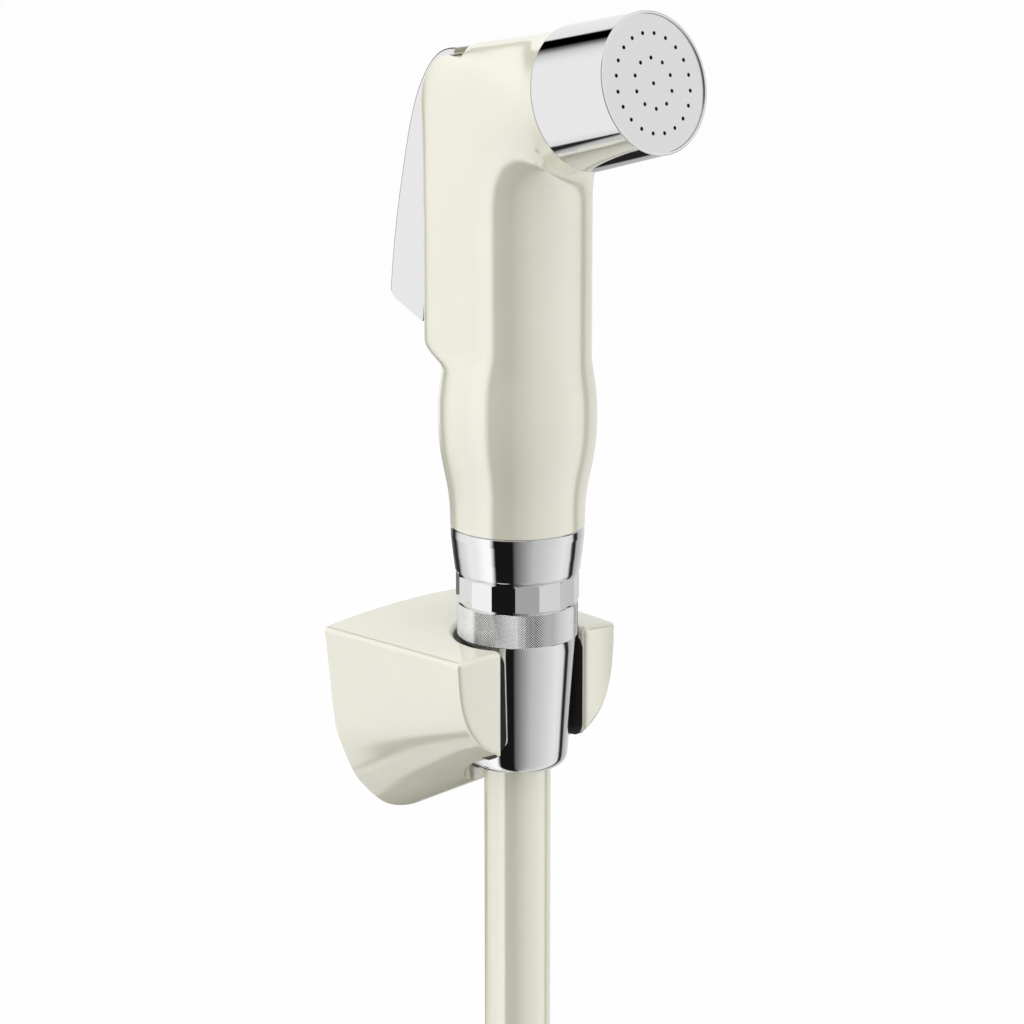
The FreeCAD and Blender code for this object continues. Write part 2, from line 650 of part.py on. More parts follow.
# The chamber cup behind the plate takes the outlet pipe and spreads the water.
cup_back = outlet_end - 2.4
cup = Part.makeCylinder(insert_r - fit_gap, plate_back - cup_back, Vec(0, 0, cup_back))
cup = cup.cut(Part.makeCylinder(insert_r - 1.6, 20, Vec(0, 0, outlet_end + gasket_thick)))
cup = cup.cut(Part.makeCylinder(outlet_r + fit_gap, 2.4 + gasket_thick - 1.0, Vec(0, 0, cup_back)))
for i in range(6):
    a = math.pi * i / 3
    cup = cup.cut(Part.makeCylinder(1.1, 10, Vec(2.6 * math.cos(a), 2.6 * math.sin(a), outlet_end - 1)))
save(along_head(cup), "spray_chamber")

# Hose.
points = [Vec(*p) for p in hose_points]
path = []
start = points[0]
path_length = 0.0
for i in range(1, len(points) - 1):
    into = (points[i] - points[i - 1]).normalize()
    out = (points[i + 1] - points[i]).normalize()
    shorter = min((points[i] - points[i - 1]).Length, (points[i + 1] - points[i]).Length)
    turn = into.getAngle(out)
    reach = 0.45 * shorter
    radius = reach / math.tan(turn / 2)
    begin = points[i] - into * reach
    finish = points[i] + out * reach
    chord = (out - into).normalize()
    middle = points[i] + chord * (radius / math.cos(turn / 2) - radius)
    path.append(Part.LineSegment(start, begin).toShape())
    path.append(Part.Arc(begin, middle, finish).toShape())
    path_length += (begin - start).Length + radius * turn
    start = finish
    print("hose bend", i, "turn", round(math.degrees(turn), 1), "radius", round(radius, 1))
path.append(Part.LineSegment(start, points[-1]).toShape())
path_length += (points[-1] - start).Length
run = Part.Wire(path)


def pipe(r):
    """A solid of one radius along the hose's path."""
    circle = Part.Wire(Part.makeCircle(r, points[0], points[1] - points[0]))
    return run.makePipeShell([circle], True, False)


hose = pipe(hose_r).cut(pipe(hose_bore_r))
want = math.pi * (hose_r ** 2 - hose_bore_r ** 2) * path_length
print("hose volume", round(hose.Volume, 1), "section times length", round(want, 1))
save(hose, "hose")

# The put-away coil hangs beside the wall: a ring with the hose's free end leaving it.
last_dir = (points[-1] - points[-2]).normalize()
inward = Vec(last_dir.z, 0, -last_dir.x)
coil_centre = points[-1] + inward * coil_mid_r
entry_angle = math.degrees(math.atan2(-inward.z, -inward.x))
coil_y = axis_y
back_y = coil_y + coil_pitch
mid_y = coil_y + coil_pitch / 2
half_w = coil_pitch / 2 + hose_r
coil_round = hose_r * 0.9


def coil_ring(r):
    """A short cylinder about the coil's axis, as wide as its two turns."""
    foot = Vec(coil_centre.x, mid_y - half_w, coil_centre.z)
    return Part.makeCylinder(r, 2 * half_w, foot, Vec(0, 1, 0))


coil = coil_ring(coil_mid_r + hose_r)
coil = coil.makeFillet(coil_round, [e for e in coil.Edges if e.BoundBox.YLength < 0.1])
coil = coil.cut(coil_ring(coil_mid_r - hose_r))
inner_rims = [e for e in coil.Edges
              if e.BoundBox.YLength < 0.1 and abs(e.BoundBox.XLength / 2 - coil_mid_r + hose_r) < 0.5]
coil = soften(coil, inner_rims, coil_round * 0.5)
a = math.radians(coil_tail_angle)
tail_at = Vec(coil_centre.x + coil_mid_r * math.cos(a), back_y, coil_centre.z + coil_mid_r * math.sin(a))
tail_dir = Vec(math.sin(a), 0, -math.cos(a))
tail = Part.makeCylinder(hose_r - fit_gap, coil_tail, tail_at, tail_dir)
# the last of the bore, where the far fitting's barb goes in
tail_end = tail_at + tail_dir * coil_tail
tail = tail.cut(Part.makeCylinder(hose_bore_r, 20, tail_end - tail_dir * 20, tail_dir))
coil = coil.fuse(tail)
save(coil, "hose_coil")
coil_turn = entry_angle - coil_tail_angle + 720
coil_length = math.radians(coil_turn) * coil_mid_r + coil_tail
print("coil turns", round(coil_turn / 360, 3), "hose length", round(path_length + coil_length, 1))
print("coil centre", coil_centre, "tail end", tail_end)

# A strap round the coil's section.
a = math.radians(tie_angle)
tie_w = 2 * hose_r + 0.1
tie_h = coil_pitch + 2 * hose_r + 0.1
outer_box = Part.makeBox(tie_w + 2 * tie_thick, tie_h + 2 * tie_thick, tie_width,
                         Vec(-tie_w / 2 - tie_thick, -tie_h / 2 - tie_thick, -tie_width / 2))
corner_edges = [e for e in outer_box.Edges if e.BoundBox.ZLength > tie_width - 0.1]
outer_box = outer_box.makeFillet(hose_r * 0.9 + tie_thick, corner_edges)
inner_box = Part.makeBox(tie_w, tie_h, tie_width + 2, Vec(-tie_w / 2, -tie_h / 2, -tie_width / 2 - 1))
corner_edges = [e for e in inner_box.Edges if e.BoundBox.ZLength > tie_width]
inner_box = inner_box.makeFillet(hose_r * 0.9, corner_edges)
tie = outer_box.cut(inner_box)
tie.Placement = FreeCAD.Placement(
    Vec(coil_centre.x + coil_mid_r * math.cos(a), coil_y + coil_pitch / 2,
        coil_centre.z + coil_mid_r * math.sin(a)),
    FreeCAD.Rotation(Vec(0, 1, 0), -tie_angle))
tie = tie.cut(coil)
save(tie, "hose_tie")

# Inlet end: crimped ferrule, barbed tail, swivel nut and washer.
flat_turn = FreeCAD.Rotation(Vec(0, 0, 1), tail_dir)


def at_inlet(shape):
    """Move a shape built along +Z from the hose's far end into place."""
    placed = shape.copy()
    placed.Placement = FreeCAD.Placement(tail_end, flat_turn)
    return placed


def spun(points):
    """A solid of revolution about Z from (radius, height) corners."""
    corners = [Vec(r, 0, z) for r, z in points]
    face = Part.Face(Part.makePolygon(corners + [corners[0]]))
    return face.revolve(Vec(0, 0, 0), Vec(0, 0, 1), 360)


ferrule = spun([
    (hose_r, -ferrule_length), (ferrule_r - 0.4, -ferrule_length), (ferrule_r, -ferrule_length + 0.5),
    (ferrule_r, 0.6), (ferrule_r - 0.5, 1.2), (inlet_shoulder_r - 2.0, 1.2), (inlet_shoulder_r - 2.0, 0.0),
    (hose_r, 0.0),
])
save(at_inlet(ferrule), "inlet_ferrule")
shoulder_z = 6.0
inlet_tail = spun([
    (tail_bore_r, -15.0), (tail_barb_r - 0.3, -15.0), (tail_barb_r, -12.0), (tail_barb_r - 0.3, -12.0),
    (tail_barb_r, -8.0), (tail_barb_r - 0.3, -8.0), (tail_barb_r, -4.0), (tail_barb_r - 0.3, -4.0),
    (tail_barb_r - 0.3, 0.0), (inlet_shoulder_r - 2.05, 0.0), (inlet_shoulder_r - 2.05, shoulder_z + 0.2),
    (tail_flange_r, shoulder_z + 0.2), (tail_flange_r, shoulder_z + 0.2 + tail_flange_thick),
    (tail_bore_r, shoulder_z + 0.2 + tail_flange_thick),
])
save(at_inlet(inlet_tail), "inlet_tail")
nut_z0 = 2.0
hex_r = inlet_nut_flats / 2 / math.cos(math.pi / 6)
hex_points = [Vec(hex_r * math.cos(math.pi * i / 3), hex_r * math.sin(math.pi * i / 3), nut_z0)
              for i in range(7)]
inlet_nut = Part.Face(Part.makePolygon(hex_points)).extrude(Vec(0, 0, inlet_nut_height))
nut_top = nut_z0 + inlet_nut_height
nut_lathe = spun([
    (0, nut_z0), (hex_r - 1.5, nut_z0), (hex_r, nut_z0 + 0.9), (hex_r, nut_top - 0.9),
    (hex_r - 1.5, nut_top), (0, nut_top),
])
inlet_nut = inlet_nut.common(nut_lathe)
inlet_nut = inlet_nut.cut(Part.makeCylinder(inlet_shoulder_r - 2.05 + run_gap, 30, Vec(0, 0, 0)))
washer_z = shoulder_z + 0.2 + tail_flange_thick
relief_end = washer_z + washer_thick + 0.1
inlet_nut = inlet_nut.cut(Part.makeCylinder(thread_major_r, 30, Vec(0, 0, relief_end - 1)))
inlet_nut = inlet_nut.cut(Part.makeCylinder(thread_relief_r, relief_end - shoulder_z, Vec(0, 0, shoulder_z)))
save(at_inlet(inlet_nut), "inlet_nut")
inlet_washer = Part.makeCylinder(thread_major_r - 0.4, washer_thick, Vec(0, 0, washer_z))
inlet_washer = inlet_washer.cut(Part.makeCylinder(tail_bore_r + 1.2, 9, Vec(0, 0, washer_z - 1)))
save(at_inlet(inlet_washer), "inlet_washer")
print("inlet thread mouth", tail_end + tail_dir * nut_top, "wall length", nut_top - relief_end)
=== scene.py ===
import math

import bmesh
import bpy
import numpy as np
from mathutils import Matrix, Vector


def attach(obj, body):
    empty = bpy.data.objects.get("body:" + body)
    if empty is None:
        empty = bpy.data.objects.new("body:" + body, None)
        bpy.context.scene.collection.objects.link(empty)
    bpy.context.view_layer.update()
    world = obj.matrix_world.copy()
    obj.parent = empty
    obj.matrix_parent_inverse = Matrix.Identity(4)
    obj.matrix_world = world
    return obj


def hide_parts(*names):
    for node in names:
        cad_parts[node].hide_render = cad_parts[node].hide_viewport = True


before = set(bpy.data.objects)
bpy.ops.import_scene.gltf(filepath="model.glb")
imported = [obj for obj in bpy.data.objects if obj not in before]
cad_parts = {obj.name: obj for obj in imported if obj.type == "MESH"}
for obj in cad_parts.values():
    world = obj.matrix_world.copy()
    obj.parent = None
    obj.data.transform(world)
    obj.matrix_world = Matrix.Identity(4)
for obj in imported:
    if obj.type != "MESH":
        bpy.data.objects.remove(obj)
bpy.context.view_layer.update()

scene = bpy.context.scene
scene.view_settings.view_transform = "Standard"
MM = 0.001


# Camera.
AXIS_Y = -0.0336                 # the handset stands on this line, x = 0
AIM_Z = 0.0497
CAMERA_DISTANCE = 0.766
CAMERA_AZIMUTH = math.radians(-43.0)
CAMERA_PITCH = math.radians(14.8)
PICTURE_PX, FOCAL_PX, SHIFT_PX = 1024.0, 3600.0, -5.5
SENSOR_MM = 36.0

look = bpy.data.cameras.new("photo_camera")
look.sensor_width = SENSOR_MM
look.lens = FOCAL_PX / PICTURE_PX * SENSOR_MM
look.shift_x = SHIFT_PX / PICTURE_PX
look.clip_end = 60.0
camera = bpy.data.objects.new("photo_camera", look)
scene.collection.objects.link(camera)
camera.location = (
    CAMERA_DISTANCE * math.sin(CAMERA_AZIMUTH) * math.cos(CAMERA_PITCH),
    AXIS_Y - CAMERA_DISTANCE * math.cos(CAMERA_AZIMUTH) * math.cos(CAMERA_PITCH),
    AIM_Z + CAMERA_DISTANCE * math.sin(CAMERA_PITCH),
)
camera.rotation_euler = (math.pi / 2 - CAMERA_PITCH, 0.0, CAMERA_AZIMUTH)
scene.camera = camera


# Materials.
def material(name, color, rough, metallic=0.0, ior=1.5, coat=0.0, coat_rough=0.05):
    """A shader with its constant values set on its own sockets."""
    made = bpy.data.materials.new(name)
    made.use_nodes = True
    shader = made.node_tree.nodes["Principled BSDF"]
    shader.inputs["Base Color"].default_value = (*color, 1.0)
    shader.inputs["Roughness"].default_value = rough
    shader.inputs["Metallic"].default_value = metallic
    shader.inputs["IOR"].default_value = ior
    shader.inputs["Coat Weight"].default_value = coat
    shader.inputs["Coat Roughness"].default_value = coat_rough
    return made


def grain(made, scale, depth, distance, stretch=(1.0, 1.0, 1.0), tint=0.0, rough_swing=0.0):
    """Fine surface grain: noise in object space drives bump, a slight tint and the roughness."""
    tree = made.node_tree
    nodes, links = tree.nodes, tree.links
    shader = nodes["Principled BSDF"]
    coords = nodes.new("ShaderNodeTexCoord")
    mapping = nodes.new("ShaderNodeMapping")
    mapping.inputs["Scale"].default_value = stretch
    noise = nodes.new("ShaderNodeTexNoise")
    noise.inputs["Scale"].default_value = scale
    noise.inputs["Detail"].default_value = 3.0
    links.new(coords.outputs["Object"], mapping.inputs["Vector"])
    links.new(mapping.outputs["Vector"], noise.inputs["Vector"])
    if depth:
        bump = nodes.new("ShaderNodeBump")
        bump.inputs["Strength"].default_value = depth
        bump.inputs["Distance"].default_value = distance
        links.new(noise.outputs["Fac"], bump.inputs["Height"])
        links.new(bump.outputs["Normal"], shader.inputs["Normal"])
    if tint:
        base = shader.inputs["Base Color"].default_value[:]
        ramp = nodes.new("ShaderNodeValToRGB")
        ramp.color_ramp.elements[0].position = 0.3
        ramp.color_ramp.elements[1].position = 0.7
        ramp.color_ramp.elements[0].color = [c * (1 - tint) for c in base[:3]] + [1.0]
        ramp.color_ramp.elements[1].color = [min(c * (1 + tint), 1.0) for c in base[:3]] + [1.0]
        links.new(noise.outputs["Fac"], ramp.inputs["Fac"])
        links.new(ramp.outputs["Color"], shader.inputs["Base Color"])
    if rough_swing:
        rough = shader.inputs["Roughness"].default_value
        swing = nodes.new("ShaderNodeMapRange")
        swing.inputs["To Min"].default_value = max(rough - rough_swing, 0.0)
        swing.inputs["To Max"].default_value = rough + rough_swing
        links.new(noise.outputs["Fac"], swing.inputs["Value"])
        links.new(swing.outputs["Result"], shader.inputs["Roughness"])
    return made


ivory = grain(material("ivory_abs", (0.75, 0.735, 0.605), 0.11, ior=3.15), 90.0, 0.02, 0.0002,
              tint=0.012, rough_swing=0.03)
ivory_hose = grain(material("ivory_pvc", (0.76, 0.74, 0.60), 0.10, ior=3.0), 60.0, 0.03, 0.0003,
                   stretch=(1.0, 1.0, 0.2), tint=0.012, rough_swing=0.03)
chrome = grain(material("polished_chrome", (0.80, 0.80, 0.805), 0.045, metallic=1.0), 40.0, 0.006, 0.0003,
               rough_swing=0.02)
steel = grain(material("satin_steel", (0.80, 0.80, 0.80), 0.30, metallic=1.0), 900.0, 0.04, 0.0001,
              rough_swing=0.05)
brass = grain(material("machined_brass", (0.72, 0.53, 0.24), 0.25, metallic=1.0), 700.0, 0.05, 0.0001,
              stretch=(0.2, 0.2, 3.0), tint=0.05, rough_swing=0.06)
rubber = grain(material("black_rubber", (0.018, 0.017, 0.015), 0.42), 500.0, 0.08, 0.0001, tint=0.1,
               rough_swing=0.06)
acetal = grain(material("grey_acetal", (0.45, 0.46, 0.46), 0.45), 300.0, 0.05, 0.0001, tint=0.03,
               rough_swing=0.05)
strap = grain(material("black_strap", (0.02, 0.02, 0.021), 0.75), 1500.0, 0.4, 0.0003, tint=0.25,
              rough_swing=0.05)

node_finish = {
    "wall_bracket": ivory, "handle_shell": ivory, "bracket_liner": rubber, "cone_nut": chrome,
    "hose_washer": rubber, "hose_tail": brass, "facet_nut": chrome, "base_collar": chrome,
    "water_way": acetal, "valve_stem": steel, "valve_disc": rubber, "gland_nut": brass,
    "stem_seal": rubber, "stem_spring": steel, "trigger_lever": chrome, "lever_pin": steel,
    "nozzle_cap": chrome, "spray_plate": steel, "spray_chamber": acetal, "hose_tie": strap,
    "inlet_ferrule": chrome, "inlet_tail": brass, "inlet_nut": chrome, "inlet_washer": rubber,
    "hose": ivory_hose, "hose_coil": ivory_hose,
}
for node, finish in node_finish.items():
    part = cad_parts[node]
    if not part.material_slots:
        part.data.materials.append(finish)
    for entry in part.material_slots:
        entry.material = finish


# Shapes made here are rings of points joined into a skin: x is across, f is ahead of the
# handset's axis and z is up.
def skin(name, finish, rows, body, loop_rows=False, sharp=34.0, folds=(0, 0)):
    """A closed mesh over rows of points: each row is a closed ring; the ends meet at their middles.
    Between the two rows in folds the cells are split along alternate diagonals."""
    rows = np.asarray(rows, float)
    count, around = rows.shape[:2]
    steps = count if loop_rows else count - 1
    i, j = np.meshgrid(np.arange(steps), np.arange(around), indexing="ij")
    up, on = (i + 1) % count, (j + 1) % around
    quads = np.stack([i * around + j, i * around + on, up * around + on, up * around + j], -1)
    points = rows.reshape(-1, 3)
    folded = (i >= folds[0]) & (i < folds[1])
    even = (i - folds[0] + j) % 2 == 0
    faces = quads[~folded].tolist()
    for cells, picks in ((folded & even, (0, 1, 2)), (folded & even, (0, 2, 3)),
                         (folded & ~even, (0, 1, 3)), (folded & ~even, (1, 2, 3))):
        faces += quads[cells][:, picks].tolist()
    if not loop_rows:
        points = np.concatenate([points, rows[0].mean(0)[None], rows[-1].mean(0)[None]])
        k = np.arange(around)
        low = np.stack([(k + 1) % around, k, np.full(around, count * around)], 1)
        last = (count - 1) * around
        high = np.stack([last + k, last + (k + 1) % around, np.full(around, count * around + 1)], 1)
        faces += low.tolist() + high.tolist()
    mesh = bpy.data.meshes.new(name)
    mesh.from_pydata(points.tolist(), [], faces)
    mesh.update()
    corners = [points[[face[k] for face in faces]] for k in (0, 1, 2)]
    if np.einsum("ij,ij->", corners[0], np.cross(corners[1], corners[2])) < 0:
        mesh.flip_normals()
    mesh.shade_smooth()
    mesh.set_sharp_from_angle(angle=math.radians(sharp))
    mesh.materials.append(finish)
    made = bpy.data.objects.new(name, mesh)
    scene.collection.objects.link(made)
    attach(made, body)
    return made


def curve_through(pairs, at):
    """A smooth curve through (position, value) pairs, read at many positions (cubic Hermite)."""
    k, v = np.array(pairs, float).T
    slope = np.gradient(v, k)
    i = np.clip(np.searchsorted(k, at, side="right") - 1, 0, len(k) - 2)
    h = k[i + 1] - k[i]
    t = (at - k[i]) / h
    return ((1 + 2 * t) * (1 - t) ** 2 * v[i] + t * (1 - t) ** 2 * h * slope[i]
            + t * t * (3 - 2 * t) * v[i + 1] - t * t * (1 - t) * h * slope[i + 1])


def ease(k):
    """A smooth step from 0 to 1."""
    k = np.clip(k, 0.0, 1.0)
    return k * k * (3 - 2 * k)


# Handset body in millimetres: a round belly, a grip squared off at the rear with the lever's
# pocket in it, an elbow fanned about a point under the neck, and the neck along the head's axis.
TILT = math.radians(14.4)
HEAD_Z = 135.1
FAN_F, FAN_Z = 22.0, 117.0
FAN_END = math.pi / 2 - TILT
PIVOT_S = FAN_F * math.cos(TILT) + (FAN_Z - HEAD_Z) * math.sin(TILT)
PIVOT_DROP = FAN_F * math.sin(TILT) - (FAN_Z - HEAD_Z) * math.cos(TILT)
GRIP_R, NECK_R, REAR = 15.1, 14.55, 16.5
ROUND, SQUARE = 2.0, 5.5        # section exponents: a circle, and the grip's squared rear
FRONT_SQUARE = 2.22             # the grip is a little squared ahead as well
COLLAR_TOP, WAIST_Z = 47.35, 79.0
GRIP_FROM, GRIP_OVER = 80.6, 6.6    # the belly turns into the grip from here, over this height
CAP_SEAT_S = 21.0               # the cap starts here, measured along the head's axis
NECK = [(12.0, 14.5), (PIVOT_S, NECK_R), (18.9, 14.76), (CAP_SEAT_S, 15.1)]
MOUTH_F, MOUTH_Z = 4.8, 149.7   # the pocket opens on the crown this far behind the axis
SQUARE_FADES = 0.62             # share of the elbow after which the rear turns round
CROWN_BLEND = math.radians(4.0)
EDGE_REACH = 0.92               # the pocket's edge stays inside this share of the half width
SIDE_POINTS, OVER_POINTS, CHEEK_POINTS = 41, 32, 8
POCKET_HALF, POCKET_FLOOR, POCKET_LOW = 13.3, 10.2, 88.6
BELLY = [    # outline of the lower body, (z, radius)
    (47.35, 14.3), (51.0, 14.4), (55.0, 14.8), (59.0, 15.55), (63.0, 16.3), (67.0, 16.72),
    (71.0, 16.85), (75.0, 16.72), (79.0, 16.25), (83.0, 15.68), (87.0, 15.38), (91.0, 15.3),
]
CHEEK = [    # rear edge of the cheeks beside the lever, (f, z)
    (-14.7, 105.0), (-14.7, 112.0), (-14.7, 117.0), (-14.7, 124.0), (-14.75, 130.0),
    (-14.9, 135.0), (-14.8, 138.5), (-14.2, 141.2), (-12.9, 143.6), (-11.1, 145.5),
    (-8.9, 146.9), (-6.3, 147.75), (-3.4, 148.15), (0.5, 148.8), (5.0, 149.6),
]
CROWN = [    # top line of the head ahead of the lever, (f, z)
    (-10.2, 146.7), (-7.2, 148.9), (-4.0, 149.9), (-0.8, 150.45), (3.6, 151.2), (8.05, 152.2),
    (12.64, 153.4), (16.0, 154.26),
]
POCKET = [   # front of the pocket from its floor up to the crown, (f, z)
    (-10.2, 100.0), (-10.2, 139.0), (-8.6, 139.8), (-7.7, 141.6), (-7.7, 145.4), (-4.8, 146.4),
    (-4.8, 152.0),
]


def fan_pairs(line):
    """Points of a side view as (angle about the fan point, distance from it)."""
    return [(math.atan2(z - FAN_Z, FAN_F - f), math.hypot(z - FAN_Z, FAN_F - f))
            for f, z in line]


def ring(half, front, rear, square, floor, centre_f, centre_z, lean, ahead=ROUND):
    """One section: x = p cos a, out = p sin a with (|x|/half)^n + (|out|/reach)^n = 1, the
    exponent n being ahead in front and square behind. Where a floor is given, the rear between
    the cheeks drops to it. The angle of the pocket's edge is found by halving."""
    def reach_at(a):
        behind = np.sin(a) > 0
        n = np.where(behind, square, ahead)
        reach = np.where(behind, rear, front)
        return (np.abs(np.cos(a) / half) ** n + np.abs(np.sin(a) / reach) ** n) ** (-1.0 / n)
    edge = min(POCKET_HALF, half * EDGE_REACH)
    low, high = 0.0, math.pi / 2
    for _ in range(40):
        mid = (low + high) / 2
        if float(reach_at(np.array(mid)) * math.cos(mid)) > edge:
            low = mid
        else:
            high = mid
    side = np.linspace(-math.pi / 2, low, SIDE_POINTS)
    over = np.linspace(low, math.pi - low, OVER_POINTS + 2)[1:-1]
    a = np.concatenate([side, over, (math.pi - side)[::-1][:-1]])
    p = reach_at(a)
    x, out = p * np.cos(a), p * np.sin(a)
    if floor is not None:
        top = out[SIDE_POINTS - 1]
        deep = min(floor, top)
        flat = OVER_POINTS - 2 * CHEEK_POINTS
        cheek = np.linspace(top, deep, CHEEK_POINTS + 1)[1:]
        across = np.linspace(edge, -edge, flat + 2)[1:-1]
        wall = np.full(CHEEK_POINTS, edge)
        between = slice(SIDE_POINTS, SIDE_POINTS + OVER_POINTS)
        x[between] = np.concatenate([wall, across, -wall])
        out[between] = np.concatenate([cheek, np.full(flat, deep), cheek[::-1]])
    f = centre_f - out * math.cos(lean)
    return np.stack([x * MM, AXIS_Y - f * MM, (centre_z + out * math.sin(lean)) * MM], -1)


def handset_rows():
    """The rings from the collar up the belly and grip, round the elbow and along the neck."""
    rows = []
    belly_z = np.linspace(COLLAR_TOP, WAIST_Z, 22)
    for z in np.concatenate([belly_z, np.linspace(WAIST_Z + 1.0, POCKET_LOW, 13)]):
        r = float(curve_through(BELLY, z))
        k = float(ease((z - GRIP_FROM) / GRIP_OVER))
        rows.append(ring(r + (GRIP_R - r) * k, r + (GRIP_R - r) * k, r + (REAR - r) * k,
                         ROUND + (SQUARE - ROUND) * k ** 1.5, None, 0.0, z, 0.0,
                         ROUND + (FRONT_SQUARE - ROUND) * k))
    for z in np.linspace(POCKET_LOW, FAN_Z, 9)[:-1]:
        rows.append(ring(GRIP_R, GRIP_R, REAR, SQUARE, POCKET_FLOOR, 0.0, z, 0.0, FRONT_SQUARE))
    pocket = fan_pairs(POCKET)
    leans = np.concatenate([np.linspace(0.0, FAN_END, 46), [p[0] for p in pocket[1:6]]])
    cheek, crown = fan_pairs(CHEEK), fan_pairs(CROWN)
    mouth = math.atan2(MOUTH_Z - FAN_Z, FAN_F + MOUTH_F)
    for lean in sorted(np.append(leans, mouth)):
        part = lean / FAN_END
        blend = float(ease(part))
        centre = FAN_F + (PIVOT_DROP - FAN_F) * blend
        half = GRIP_R + (NECK_R - GRIP_R) * blend
        inner = (FAN_F - GRIP_R) + (PIVOT_DROP - NECK_R - FAN_F + GRIP_R) * blend
        fade = float(ease((part - SQUARE_FADES) / (1.0 - SQUARE_FADES)))
        square = SQUARE + (ROUND - SQUARE) * fade
        edge = min(POCKET_HALF, half * EDGE_REACH)
        edge_share = (1.0 - (edge / half) ** square) ** (1.0 / square)
        by_cheek = (float(curve_through(cheek, lean)) - centre) / edge_share
        by_crown = float(curve_through(crown, max(lean, crown[0][0]))) - centre
        forward = float(ease((lean - mouth + CROWN_BLEND) / CROWN_BLEND))
        rear = by_cheek + (by_crown - by_cheek) * forward
        floor = None
        if lean <= mouth:
            floor = float(np.interp(lean, *zip(*pocket))) - centre
            if lean < pocket[1][0]:
                floor = (FAN_F + POCKET_FLOOR) / math.cos(lean) - centre
            elif lean > pocket[5][0]:
                floor = (FAN_F + MOUTH_F) / math.cos(lean) - centre
        rows.append(ring(half, centre - inner, rear, square, floor,
                         FAN_F - centre * math.cos(lean), FAN_Z + centre * math.sin(lean), lean,
                         ROUND + (FRONT_SQUARE - ROUND) * (1.0 - blend)))
    for s in np.linspace(PIVOT_S, CAP_SEAT_S, 7)[1:]:
        r = float(curve_through(NECK, s))
        rows.append(ring(r, r, r, ROUND, None,
                         s * math.cos(TILT), HEAD_Z + s * math.sin(TILT), FAN_END))
    return rows


handset = skin("moulded_handset_body", ivory, handset_rows(), "base", sharp=40.0)
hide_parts("handle_shell")


# Cone nut in millimetres: turned from foot to rim, with a diamond knurl cut round its band.
KNURLS, KNURL_ROWS, KNURL_DEPTH = 148, 13, 0.12
KNURL_LOW, KNURL_HIGH, KNURL_R = 23.2, 30.3, 12.95
FOOT_Z, FOOT_ROUND, FOOT_EDGE_R = -6.0, 2.3, 10.75
TAPER_R, TAPER_SLOPE = 10.65, 0.0655    # radius at the foot, and its growth per millimetre up
TAPER_Z = (-3.0, 22.7)
BAND_EDGE = (12.62, 23.0)               # where the taper meets the knurl, (r, z)
RIM_Z, THREAD_R, SHOULDER_Z, HOSE_BORE_R = 30.6, 10.48, 20.0, 7.35


def cone_nut_rows():
    """Rings of radius r(z); in the band each half pitch alternates between R and R - depth, which
    makes four-sided points in diamonds. Returns the rings and the band's first and last one."""
    foot_angles = np.linspace(0.0, math.pi / 2 - TAPER_SLOPE, 9)
    foot = [(FOOT_EDGE_R + FOOT_ROUND * (math.sin(t) - 1.0), FOOT_Z + FOOT_ROUND * (1.0 - math.cos(t)))
            for t in foot_angles]
    taper = [(TAPER_R + (z - FOOT_Z) * TAPER_SLOPE, z) for z in np.linspace(*TAPER_Z, 14)]
    plain = [(HOSE_BORE_R, FOOT_Z)] + foot + taper + [BAND_EDGE]
    lip = [(KNURL_R - 0.02, RIM_Z - 0.18), (KNURL_R - 0.22, RIM_Z), (THREAD_R, RIM_Z),
           (THREAD_R, SHOULDER_Z), (HOSE_BORE_R, SHOULDER_Z)]
    around = KNURLS * 2
    turn = np.arange(around) * 2 * math.pi / around
    rows = []

    def add(r, z):
        r = np.broadcast_to(r, turn.shape)
        rows.append(np.stack([r * np.cos(turn) * MM, AXIS_Y + r * np.sin(turn) * MM,
                              np.full_like(turn, z * MM)], -1))
    for r, z in plain:
        add(r, z)
    halves = KNURL_ROWS * 2
    for k in range(halves + 1):
        valley = (np.arange(around) + k) % 2 == 0
        add(KNURL_R - KNURL_DEPTH * valley, KNURL_LOW + (KNURL_HIGH - KNURL_LOW) * k / halves)
    for r, z in lip:
        add(r, z)
    return rows, (len(plain), len(plain) + halves)


cone_rows, knurl_band = cone_nut_rows()
cone = skin("knurled_cone_nut", chrome, cone_rows, "base", loop_rows=True, sharp=20.0,
            folds=knurl_band)
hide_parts("cone_nut")


# Spray plate: a merged copy of the plate with its rings of holes turned about the head's axis.
PLATE_TURN = math.radians(-5.0)
FLAT_ANGLE = math.radians(0.4)


def turned_plate():
    """The plate's own mesh, merged and its flat faces made whole, turned about the axis."""
    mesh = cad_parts["spray_plate"].data.copy()
    mesh.name = "spray_plate_turned"
    if "custom_normal" in mesh.attributes:
        mesh.attributes.remove(mesh.attributes["custom_normal"])
    shape = bmesh.new()
    shape.from_mesh(mesh)
    bmesh.ops.remove_doubles(shape, verts=shape.verts, dist=1e-6)
    bmesh.ops.dissolve_limit(shape, angle_limit=FLAT_ANGLE, verts=shape.verts, edges=shape.edges)
    bmesh.ops.triangulate(shape, faces=[face for face in shape.faces if len(face.verts) > 4])
    shape.to_mesh(mesh)
    shape.free()
    point = Vector((0.0, AXIS_Y, HEAD_Z * MM))
    axis = Vector((0.0, -math.cos(TILT), math.sin(TILT)))
    mesh.transform(Matrix.Translation(point) @ Matrix.Rotation(PLATE_TURN, 4, axis)
                   @ Matrix.Translation(-point))
    mesh.shade_flat()
    made = bpy.data.objects.new("spray_plate_turned", mesh)
    scene.collection.objects.link(made)
    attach(made, "base")
    return made


plate = turned_plate()
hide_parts("spray_plate")


